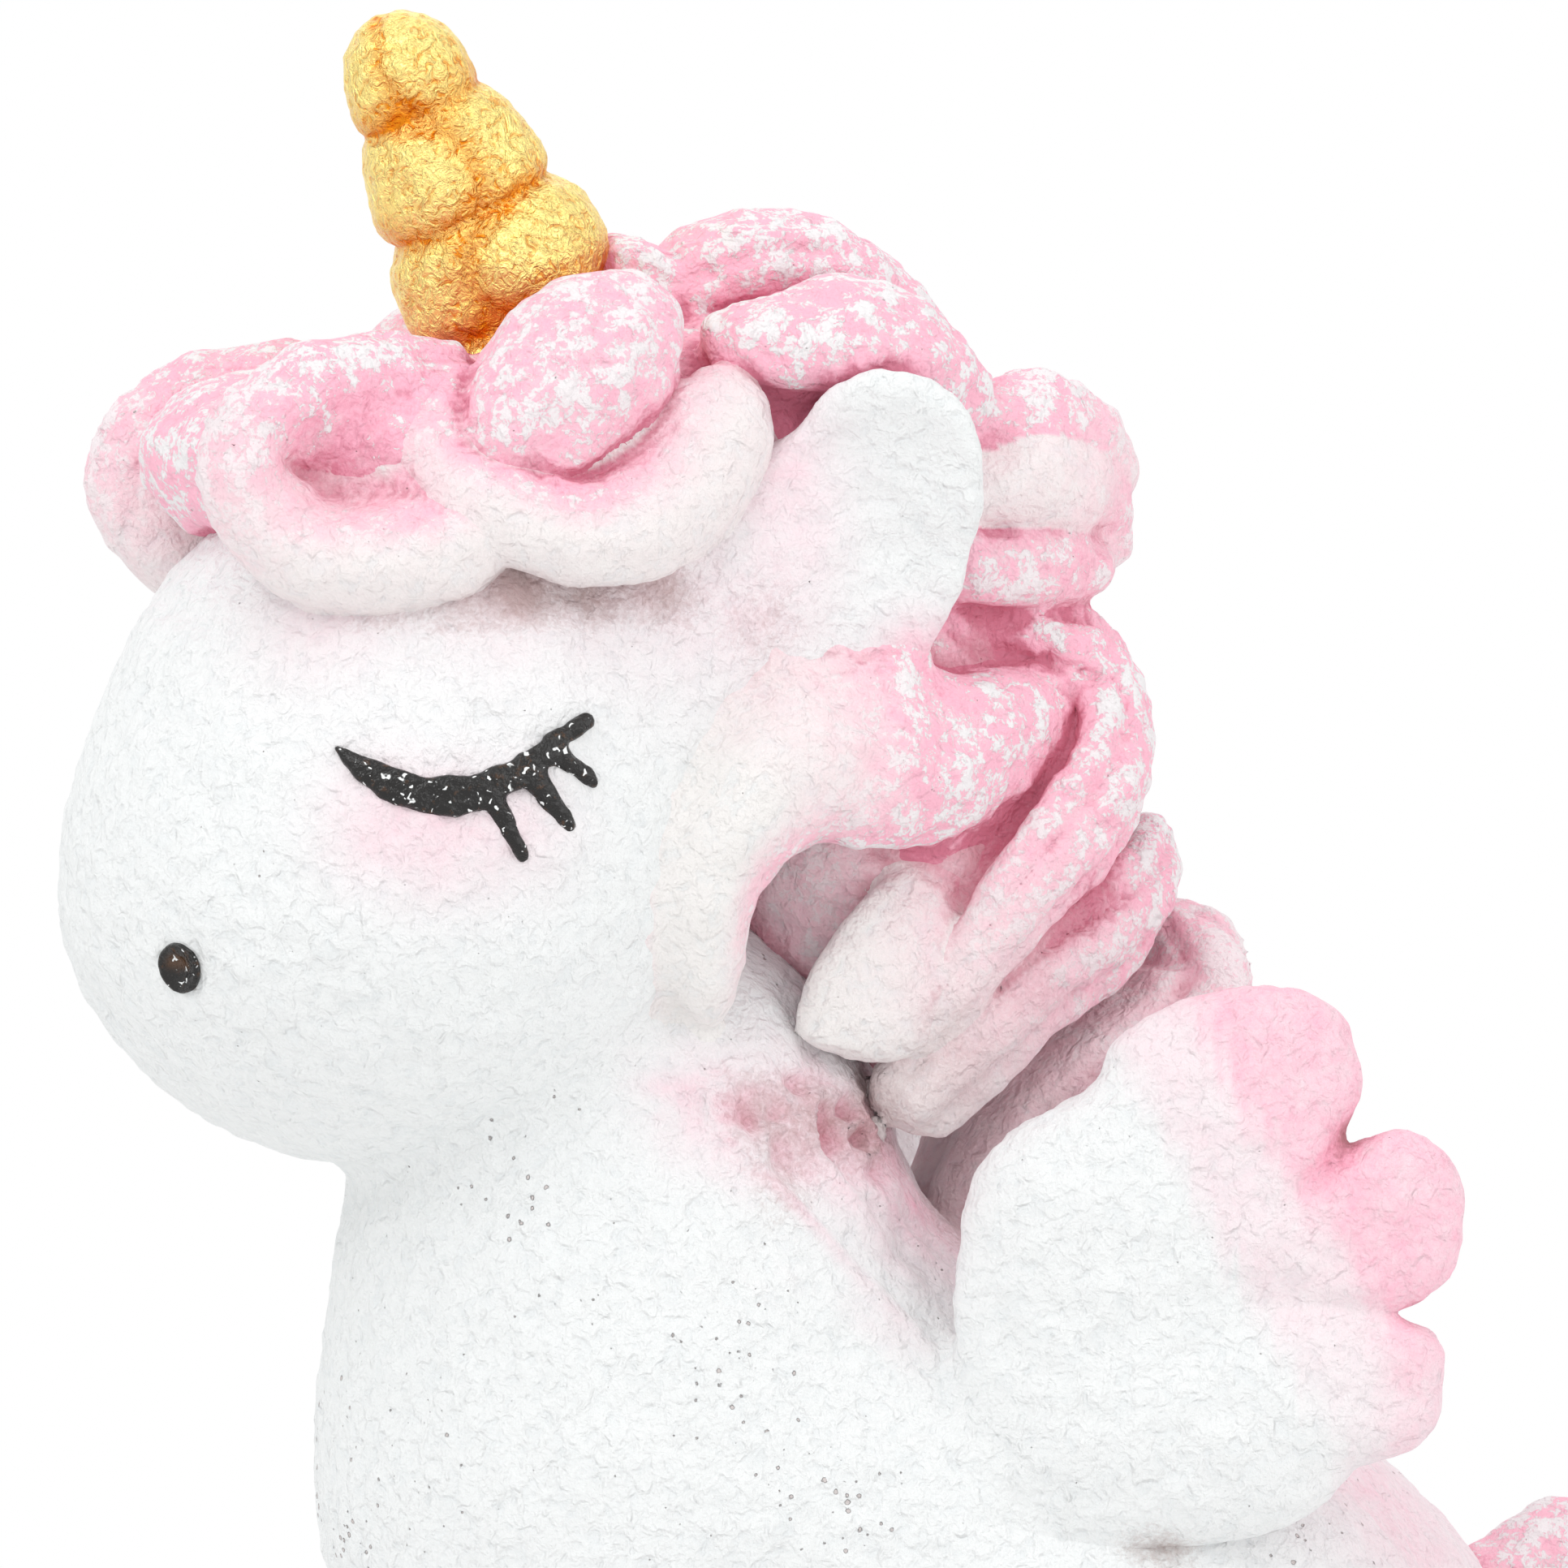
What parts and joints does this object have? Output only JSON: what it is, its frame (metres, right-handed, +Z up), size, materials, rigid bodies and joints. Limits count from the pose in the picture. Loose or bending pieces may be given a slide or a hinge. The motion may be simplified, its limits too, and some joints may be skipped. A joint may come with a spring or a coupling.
{
  "type": "aquarium ornament",
  "caption": "Painted cast resin ornament of a chubby seated unicorn with a curly mane, twisted horn and small wings, which stands on the bottom of a tank.",
  "frame": {"origin": "on the ground, under the middle of the figure's box", "axes": "+Z up along the height, -X towards the muzzle, +X towards the tail, -Y towards the figure's left flank"},
  "size_m": [0.11, 0.0616, 0.1194],
  "materials": {
    "cast_white": "matt airbrushed white on porous filled resin",
    "mane_pink": "matt airbrushed pink, dry-brushed white",
    "horn_gold": "brushed-on metallic gold paint",
    "black_enamel": "glossy black enamel"
  },
  "bodies": {
    "root": {"nostril_left": "black_enamel", "nostril_right": "black_enamel", "wing_left": "cast_white", "wing_right": "cast_white", "horn": "horn_gold", "body": "cast_white", "head": "cast_white", "eyelash_left": "black_enamel", "eyelash_right": "black_enamel", "mane_core": "mane_pink", "ear_left": "cast_white", "ear_right": "cast_white", "topknot_left": "mane_pink", "topknot_right": "mane_pink", "crown_lock_centre": "mane_pink", "nape_bun": "mane_pink", "crown_lock_left": "mane_pink", "crown_lock_right": "mane_pink", "rear_bang_left": "mane_pink", "rear_bang_right": "mane_pink", "front_bang_left": "mane_pink", "front_bang_right": "mane_pink", "cheek_lock_left": "mane_pink", "cheek_lock_right": "mane_pink", "inner_lock_left": "mane_pink", "inner_lock_right": "mane_pink", "nape_lock_left": "mane_pink", "nape_lock_right": "mane_pink", "shoulder_lock_left": "mane_pink", "shoulder_lock_right": "mane_pink", "back_lock": "mane_pink", "foreleg_left": "cast_white", "foreleg_right": "cast_white", "hind_leg_left": "cast_white", "hind_leg_right": "cast_white", "hoof_front_left": "mane_pink", "hoof_front_right": "mane_pink", "hoof_hind_left": "mane_pink", "hoof_hind_right": "mane_pink", "tail_lock_centre": "mane_pink", "tail_lock_left": "mane_pink", "tail_lock_right": "mane_pink"}
  },
  "joints": []
}
